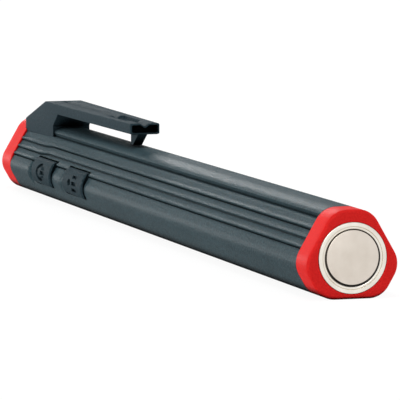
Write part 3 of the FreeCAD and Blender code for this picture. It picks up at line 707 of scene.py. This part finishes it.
# Rounding of the caps' outer edges.
FRONT_ROUND, REAR_ROUND = 0.5, 0.25
seal_low, seal_high = size_of("front_seal")
SEAL_X = (seal_low.x + seal_high.x) / 2
SEAL_GROOVE_HALF = 0.56
SEAL_GROOVE_FLOOR = SPIGOT - 0.95
rings = [cap_ring(SEAT_BACK, radius=STUD_HOLE), cap_ring(SEAT_BACK, radius=SEAT),
         cap_ring(front_high.x - SEAT_EDGE, radius=SEAT),
         cap_ring(front_high.x, radius=POT_RADIUS + SEAT_EDGE)]
rings += cap_outside(front_high.x, TUBE_FRONT, FRONT_ROUND)
rings += [cap_ring(TUBE_FRONT, radius=SPIGOT), cap_ring(SEAL_X + SEAL_GROOVE_HALF, radius=SPIGOT),
          cap_ring(SEAL_X + SEAL_GROOVE_HALF, radius=SEAL_GROOVE_FLOOR),
          cap_ring(SEAL_X - SEAL_GROOVE_HALF, radius=SEAL_GROOVE_FLOOR),
          cap_ring(SEAL_X - SEAL_GROOVE_HALF, radius=SPIGOT), cap_ring(front_low.x + 0.4, radius=SPIGOT),
          cap_ring(front_low.x, radius=SPIGOT - SPIGOT_EDGE), cap_ring(front_low.x, radius=SPIGOT_BORE),
          cap_ring(SEAT_FLOOR, radius=SPIGOT_BORE), cap_ring(SEAT_FLOOR, radius=STUD_HOLE)]
front_cap = loft("front_end_cap", rings, closed=True)
finish_piece(front_cap, red_abs, "magnet_end", "cap_plastic", "front_cap")

rear_low, rear_high = size_of("rear_cap")
LAMP_BORE = size_of("lens")[1].y + FIT_GAP
LAMP_WINDOW = 3.6
LAMP_LIP = 1.1
LAMP_EDGE = 0.35
rings = [cap_ring(rear_high.x, radius=LAMP_BORE), cap_ring(rear_low.x + LAMP_LIP, radius=LAMP_BORE),
         cap_ring(rear_low.x + LAMP_LIP, radius=LAMP_WINDOW),
         cap_ring(rear_low.x + LAMP_EDGE, radius=LAMP_WINDOW),
         cap_ring(rear_low.x, radius=LAMP_WINDOW + LAMP_EDGE)]
rings += cap_outside(rear_low.x, TUBE_REAR, REAR_ROUND)
rings += [cap_ring(TUBE_REAR, radius=SPIGOT), cap_ring(rear_high.x - 0.4, radius=SPIGOT),
          cap_ring(rear_high.x, radius=SPIGOT - SPIGOT_EDGE)]
rear_cap = loft("rear_end_cap", rings, closed=True)
# The clip's tail sits in a notch in the rear cap.
notch_low = (CLIP_REAR - FIT_GAP, -REAR_HALF - FIT_GAP, SKIRT)
notch_high = (TUBE_REAR + 1.0, REAR_HALF + FIT_GAP, LOBE + 2)
combine(rear_cap, rounded_block("notch_cutter", notch_low, notch_high, 0.2, 2), "DIFFERENCE")
finish_piece(rear_cap, red_abs, "handle", "cap_plastic", "rear_cap")


# ---- Magnet -------------------------------------------------------------------------
# A nickel-plated disc magnet potted in a turned steel cup, flush with the cap's end.  The
# cup shows fine turning marks and a small step inside its rim; dark resin fills the gap.

def lathe(name, outline, count=128, closed=False, sharp_angle=28):
    """A round piece on the axis from an outline of (x, radius)."""
    rings = []
    for x, radius in outline:
        ring = []
        for step in range(count):
            across, up = turned_vector(360 * step / count)
            ring.append((x, radius * across, radius * up))
        rings.append(ring)
    return loft(name, rings, closed, sharp_angle)


def turned_metal(name, colour, dark, roughness, pitch, relief):
    """Metal turned on a lathe and plated: faint rings round the axis that stretch the shine."""
    material, shader = new_material(name, Metallic=1.0)
    place = add_node(material, "TexCoord").outputs["Object"]
    centred = add_node(material, "Mapping", {"Vector": place, "Location": (0, 0, -AXIS_HEIGHT * MM)})
    marks = add_node(material, "TexWave", {"Vector": centred.outputs[0], "Scale": 1 / (20 * pitch * MM),
                                           "Distortion": 0.6, "Detail": 2.0, "Detail Scale": 3.0},
                     wave_type="RINGS", rings_direction="X")
    cloud = add_node(material, "TexNoise", {"Vector": place, "Scale": 1 / (2.5 * MM), "Detail": 4.0})
    colour = add_node(material, "ValToRGB", {"Fac": cloud.outputs["Fac"]},
                      ramp=[(0.3, linear(dark)), (0.7, linear(colour))])
    gloss = add_node(material, "MapRange", {"Value": cloud.outputs["Fac"], "From Min": 0.3,
                                            "From Max": 0.7, "To Min": roughness - 0.05,
                                            "To Max": roughness + 0.06})
    bump = add_node(material, "Bump", {"Height": marks.outputs["Fac"], "Strength": relief,
                                       "Distance": 0.01 * MM})
    link(material, colour.outputs["Color"], shader.inputs["Base Color"])
    link(material, gloss.outputs[0], shader.inputs["Roughness"])
    link(material, bump.outputs["Normal"], shader.inputs["Normal"])
    return material


disc_low, disc_high = size_of("magnet_disc")
resin_low, resin_high = size_of("magnet_resin")
END = pot_high.x
DISC_RADIUS = disc_high.y
CUP_INNER = resin_high.y
STUD_RADIUS = 1.5
AT_AXIS = 0.001
cup_steel = turned_metal("nickel_plated_turned_steel", "#efeae0", "#e3dcd0", 0.30, 0.2, 0.2)
cup = lathe("pot_cup", [(pot_low.x, AT_AXIS), (pot_low.x, STUD_RADIUS - 0.15),
                        (pot_low.x + 0.15, STUD_RADIUS), (SEAT_BACK, STUD_RADIUS),
                        (SEAT_BACK, POT_RADIUS - 0.1), (SEAT_BACK + 0.1, POT_RADIUS),
                        (END - 0.16, POT_RADIUS), (END - 0.05, POT_RADIUS - 0.05),
                        (END, POT_RADIUS - 0.17), (END, CUP_INNER + 0.40),
                        (END - 0.14, CUP_INNER + 0.34), (END - 0.05, CUP_INNER + 0.28),
                        (END - 0.06, CUP_INNER + 0.1), (END - 0.14, CUP_INNER),
                        (disc_low.x, CUP_INNER), (disc_low.x, AT_AXIS)])
finish_piece(cup, cup_steel, "magnet_end", "pot_steel", "magnet_pot")

disc_nickel = turned_metal("satin_nickel_plate", "#ddd4c9", "#d3c9bd", 0.36, 0.6, 0.12)
disc = lathe("magnet_disc_face", [(disc_low.x, AT_AXIS), (disc_low.x, DISC_RADIUS),
                                  (END - 0.13, DISC_RADIUS), (END - 0.05, DISC_RADIUS - 0.04),
                                  (END - 0.01, DISC_RADIUS - 0.14), (END - 0.01, AT_AXIS)])
# The disc set a little off the cup's centre as its resin cured.
DISC_SHIFT = 0.09
for vertex in disc.data.vertices:
    vertex.co.z += DISC_SHIFT * MM
finish_piece(disc, disc_nickel, "magnet_end", "magnet_nickel", "magnet_disc")

# Cast epoxy with carbon black: slightly lumpy and half dull, so it shows as a dark line.
resin, shader = new_material("black_potting_resin", Roughness=0.5, IOR=1.5)
place = add_node(resin, "TexCoord").outputs["Object"]
lumps = add_node(resin, "TexNoise", {"Vector": place, "Scale": 1 / (0.6 * MM), "Detail": 3.0})
tone = add_node(resin, "ValToRGB", {"Fac": lumps.outputs["Fac"]},
                ramp=[(0.35, linear("#090807")), (0.7, linear("#1a1613"))])
bump = add_node(resin, "Bump", {"Height": lumps.outputs["Fac"], "Strength": 0.5, "Distance": 0.05 * MM})
link(resin, tone.outputs["Color"], shader.inputs["Base Color"])
link(resin, bump.outputs["Normal"], shader.inputs["Normal"])
resin_middle = (DISC_RADIUS + CUP_INNER) / 2
ring = lathe("potting_ring", [(resin_low.x, DISC_RADIUS), (resin_low.x, CUP_INNER),
                              (resin_high.x, CUP_INNER), (resin_high.x - 0.08, resin_middle),
                              (resin_high.x, DISC_RADIUS)], closed=True)
finish_piece(ring, resin, "magnet_end", "resin", "magnet_resin")


# ---- Seals --------------------------------------------------------------------------
# Two black nitrile rubber rings: one sits in the front cap's groove and keeps dirt off the
# cells, the other lies behind the rear window.  Their bloom makes the sheen uneven.

def dress(material, *nodes):
    """Gives CAD nodes that are seen as they are their material."""
    for node in nodes:
        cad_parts[node].data.materials.clear()
        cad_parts[node].data.materials.append(material)


def speckled(name, dark, light, size, relief, roughness, **sockets):
    """A surface with a noise of this size in millimetres in its colour, gloss and relief."""
    material, shader = new_material(name, **sockets)
    place = add_node(material, "TexCoord").outputs["Object"]
    noise = add_node(material, "TexNoise", {"Vector": place, "Scale": 1 / (size * MM), "Detail": 4.0})
    colour = add_node(material, "ValToRGB", {"Fac": noise.outputs["Fac"]},
                      ramp=[(0.3, linear(dark)), (0.7, linear(light))])
    gloss = add_node(material, "MapRange", {"Value": noise.outputs["Fac"], "From Min": 0.3,
                                            "From Max": 0.7, "To Min": roughness * 0.85,
                                            "To Max": roughness * 1.15})
    bump = add_node(material, "Bump", {"Height": noise.outputs["Fac"], "Strength": relief,
                                       "Distance": 0.04 * MM})
    link(material, colour.outputs["Color"], shader.inputs["Base Color"])
    link(material, gloss.outputs[0], shader.inputs["Roughness"])
    link(material, bump.outputs["Normal"], shader.inputs["Normal"])
    return material


dress(speckled("nitrile_rubber", "#141414", "#232322", 0.5, 0.4, 0.6, IOR=1.52),
      "front_seal", "lens_seal")


# ---- Lamp ---------------------------------------------------------------------------
# A clear polycarbonate lens over a metallised reflector and a white LED, whose phosphor
# looks yellow when it is off.  They are pressed into the rear cap on a small round board.

dress(speckled("clear_polycarbonate", "#f4f7f7", "#fbfdfd", 6.0, 0.05, 0.03, IOR=1.58,
               Transmission_Weight=1.0), "lens")
dress(speckled("metallised_reflector", "#dedfe0", "#eceded", 2.0, 0.15, 0.10, Metallic=1.0), "reflector")
dress(speckled("led_phosphor_resin", "#dcc35a", "#ecd67c", 0.3, 0.3, 0.35, IOR=1.5), "lamp_led")


def solder_mask(name, mask, track, pitch):
    """Glass-fibre laminate under green solder mask: copper tracks show as paler lines."""
    material, shader = new_material(name, IOR=1.5)
    place = add_node(material, "TexCoord").outputs["Object"]
    tracks = add_node(material, "TexVoronoi", {"Vector": place, "Scale": 1 / (pitch * MM),
                                               "Randomness": 0.35}, feature="DISTANCE_TO_EDGE")
    weave = add_node(material, "TexNoise", {"Vector": place, "Scale": 1 / (0.4 * MM), "Detail": 2.0})
    colour = add_node(material, "ValToRGB", {"Fac": tracks.outputs["Distance"]},
                      ramp=[(0.06, linear(track)), (0.10, linear(mask))])
    gloss = add_node(material, "MapRange", {"Value": weave.outputs["Fac"], "From Min": 0.3,
                                            "From Max": 0.7, "To Min": 0.22, "To Max": 0.36})
    bump = add_node(material, "Bump", {"Height": colour.outputs["Color"], "Strength": 0.3,
                                       "Distance": 0.03 * MM})
    link(material, colour.outputs["Color"], shader.inputs["Base Color"])
    link(material, gloss.outputs[0], shader.inputs["Roughness"])
    link(material, bump.outputs["Normal"], shader.inputs["Normal"])
    return material


dress(solder_mask("green_solder_mask", "#1c5a38", "#3f8a5a", 1.4), "lamp_board", "switch_board")


# ---- Switches and driver ------------------------------------------------------------
# The driver chip is black epoxy with a dull moulded skin.  The two tactile switches have
# glossier black nylon bodies, and an acetal plunger carries each key's push to its switch.

dress(speckled("black_epoxy", "#151617", "#1f2021", 0.3, 0.6, 0.55, IOR=1.55), "driver_chip")
dress(speckled("black_switch_nylon", "#1a1b1d", "#26282a", 0.6, 0.3, 0.38, IOR=1.53),
      "rear_switch", "front_switch")
dress(speckled("natural_acetal", "#d9d5c8", "#e6e3d9", 0.8, 0.2, 0.35, IOR=1.48),
      "rear_plunger", "front_plunger")


# ---- Contacts -----------------------------------------------------------------------
# Stamped brass for the positive contact and the return strip, which tarnishes in patches,
# in a grey nylon carrier.  The spring and its plate are nickel-plated spring steel.

dress(speckled("tarnished_brass", "#a5853f", "#c9a85c", 3.0, 0.15, 0.28, Metallic=1.0),
      "positive_contact", "contact_strip")
dress(speckled("grey_carrier_nylon", "#3b3e40", "#4a4e50", 0.5, 0.4, 0.5, IOR=1.53), "contact_carrier")
dress(speckled("nickel_plated_spring_steel", "#bdbab2", "#d3d0c8", 1.0, 0.15, 0.24, Metallic=1.0),
      "contact_spring", "spring_plate")


# ---- Cells --------------------------------------------------------------------------
# Two AAA cells in shrunk film sleeves, copper coloured next to the positive end and black
# over the rest.  The film is glossy, and both ends are bare nickel-plated steel.

cell_low, cell_high = size_of("rear_cell")
sleeve, shader = new_material("printed_cell_sleeve", IOR=1.5)
coordinate = add_node(sleeve, "TexCoord")
along = add_node(sleeve, "SeparateXYZ", {0: coordinate.outputs["Object"]})
offset = add_node(sleeve, "Math", {0: along.outputs[0], 1: cell_low.x * MM}, operation="SUBTRACT")
length = add_node(sleeve, "Math", {0: offset.outputs[0], 1: (cell_high.x - cell_low.x) * MM},
                  operation="DIVIDE")
share = add_node(sleeve, "Math", {0: length.outputs[0]}, operation="FRACT")
film = add_node(sleeve, "ValToRGB", {"Fac": share.outputs[0]},
                ramp=[(0.28, linear("#a8672f")), (0.285, linear("#1b1c1e"))])
facing = add_node(sleeve, "SeparateXYZ", {0: coordinate.outputs["Normal"]})
steep = add_node(sleeve, "Math", {0: facing.outputs[0]}, operation="ABSOLUTE")
bare = add_node(sleeve, "Math", {0: steep.outputs[0], 1: 0.8}, operation="GREATER_THAN")
steel = add_node(sleeve, "Mix", {0: bare.outputs[0], 6: film.outputs["Color"], 7: linear("#c4c2bc")},
                 data_type="RGBA")
scuffs = add_node(sleeve, "TexNoise", {"Vector": coordinate.outputs["Object"], "Scale": 1 / (2 * MM),
                                       "Detail": 5.0})
gloss = add_node(sleeve, "MapRange", {"Value": scuffs.outputs["Fac"], "From Min": 0.35,
                                      "From Max": 0.7, "To Min": 0.2, "To Max": 0.4})
bump = add_node(sleeve, "Bump", {"Height": scuffs.outputs["Fac"], "Strength": 0.15,
                                 "Distance": 0.03 * MM})
link(sleeve, steel.outputs[2], shader.inputs["Base Color"])
link(sleeve, bare.outputs[0], shader.inputs["Metallic"])
link(sleeve, gloss.outputs[0], shader.inputs["Roughness"])
link(sleeve, bump.outputs["Normal"], shader.inputs["Normal"])
dress(sleeve, "rear_cell", "front_cell")


# ---- Stud nut and washer ------------------------------------------------------------
# Zinc-plated steel.  The plating crystallises in patches that catch the light differently.
# The real patches are finer, and are drawn 0.7 mm wide to show.

zinc, shader = new_material("zinc_plated_steel", Metallic=1.0)
place = add_node(zinc, "TexCoord").outputs["Object"]
patches = add_node(zinc, "TexVoronoi", {"Vector": place, "Scale": 1 / (0.7 * MM)})
tone = add_node(zinc, "ValToRGB", {"Fac": patches.outputs["Color"]},
                ramp=[(0.2, linear("#b6bbc0")), (0.8, linear("#cfd3d6"))])
gloss = add_node(zinc, "MapRange", {"Value": patches.outputs["Color"], "To Min": 0.26, "To Max": 0.44})
link(zinc, tone.outputs["Color"], shader.inputs["Base Color"])
link(zinc, gloss.outputs[0], shader.inputs["Roughness"])
dress(zinc, "stud_washer", "stud_nut")


# ---- Floor, light and camera --------------------------------------------------------
# A sheet of white paper under soft studio lamps.  Half of them, with the strongest, stand
# behind the tool to give its ribs long highlights, and the others fill the shaded sides.

def grey(share):
    """A linear grey with alpha."""
    return [share, share, share, 1.0]


floor_mesh = bpy.data.meshes.new("studio_floor")
floor_mesh.from_pydata([(-4, -4, 0), (4, -4, 0), (4, 4, 0), (-4, 4, 0)], [], [(0, 1, 2, 3)])
floor = bpy.data.objects.new("studio_floor", floor_mesh)
bpy.context.scene.collection.objects.link(floor)


def seen_rays(owner):
    """1 for a ray from the camera, off a shiny surface or through glass, and 0 for lighting."""
    path = add_node(owner, "LightPath")
    mirrored = add_node(owner, "Math", {0: path.outputs["Is Glossy Ray"],
                                        1: path.outputs["Is Transmission Ray"]}, operation="MAXIMUM")
    seen = add_node(owner, "Math", {0: path.outputs["Is Camera Ray"], 1: mirrored.outputs[0]},
                    operation="MAXIMUM")
    return seen.outputs[0]


paper, shader = new_material("white_paper", Roughness=0.9)
shader.inputs["Base Color"].default_value = linear("#f2f2f2")
floor.data.materials.append(paper)
glow = add_node(paper, "Emission", {"Color": linear("#ffffff"), "Strength": 1.03})
both = add_node(paper, "MixShader", {0: 0.9, 1: shader.outputs[0], 2: glow.outputs[0]})
choice = add_node(paper, "MixShader", {0: seen_rays(paper), 1: shader.outputs[0], 2: both.outputs[0]})
link(paper, choice.outputs[0], paper.node_tree.nodes["Material Output"].inputs["Surface"])

world = bpy.data.worlds.new("studio")
bpy.context.scene.world = world
world.use_nodes = True
sky = world.node_tree.nodes["Background"]
sky.inputs["Color"].default_value = grey(1.0)
sky.inputs["Strength"].default_value = 0.22
bright = add_node(world, "Background", {"Color": grey(1.0), "Strength": 1.0})
pick = add_node(world, "MixShader", {0: seen_rays(world), 1: sky.outputs[0], 2: bright.outputs[0]})
link(world, pick.outputs[0], world.node_tree.nodes["World Output"].inputs["Surface"])


def add_lamp(name, position, target, size, power):
    """A soft square lamp aimed at a point."""
    data = bpy.data.lights.new(name, "AREA")
    data.size = size
    data.energy = power
    lamp = bpy.data.objects.new(name, data)
    lamp.location = position
    lamp.rotation_euler = (Vector(target) - Vector(position)).to_track_quat("-Z", "Y").to_euler()
    bpy.context.scene.collection.objects.link(lamp)


centre = (0, 0, AXIS_HEIGHT * MM)
add_lamp("top_lamp", (0.25, -0.15, 0.95), centre, 0.25, 4.0)
add_lamp("rear_top_lamp", (-1.5, 0.16, 0.50), centre, 0.35, 8.0)
add_lamp("rear_crest_lamp", (-1.5, 0.22, 0.33), centre, 0.30, 1.6)
add_lamp("rear_face_lamp", (-1.5, -0.64, 0.50), centre, 0.30, 1.0)
add_lamp("rear_left_lamp", (-1.5, -0.55, 0.04), centre, 0.30, 16.0)
add_lamp("side_fill", (0.0, -1.0, 0.15), centre, 0.5, 3.5)
add_lamp("front_fill", (1.0, -0.3, 0.5), centre, 0.4, 2.0)
add_lamp("far_fill", (-0.1, 1.0, 0.35), centre, 0.5, 3.5)

camera_data = bpy.data.cameras.new("camera")
camera_data.lens = 349.96
camera_data.sensor_width = 36.0
camera_data.clip_start = 0.01
camera_data.clip_end = 20.0
camera = bpy.data.objects.new("camera", camera_data)
camera.location = (0.6368, -0.19779, 0.07527)
yaw, pitch = math.radians(17.618), math.radians(5.917)
heading = Vector((-math.cos(yaw) * math.cos(pitch), math.sin(yaw) * math.cos(pitch), -math.sin(pitch)))
camera.rotation_euler = heading.to_track_quat("-Z", "Y").to_euler()
bpy.context.scene.collection.objects.link(camera)
bpy.context.scene.camera = camera
bpy.context.scene.view_settings.view_transform = "Standard"
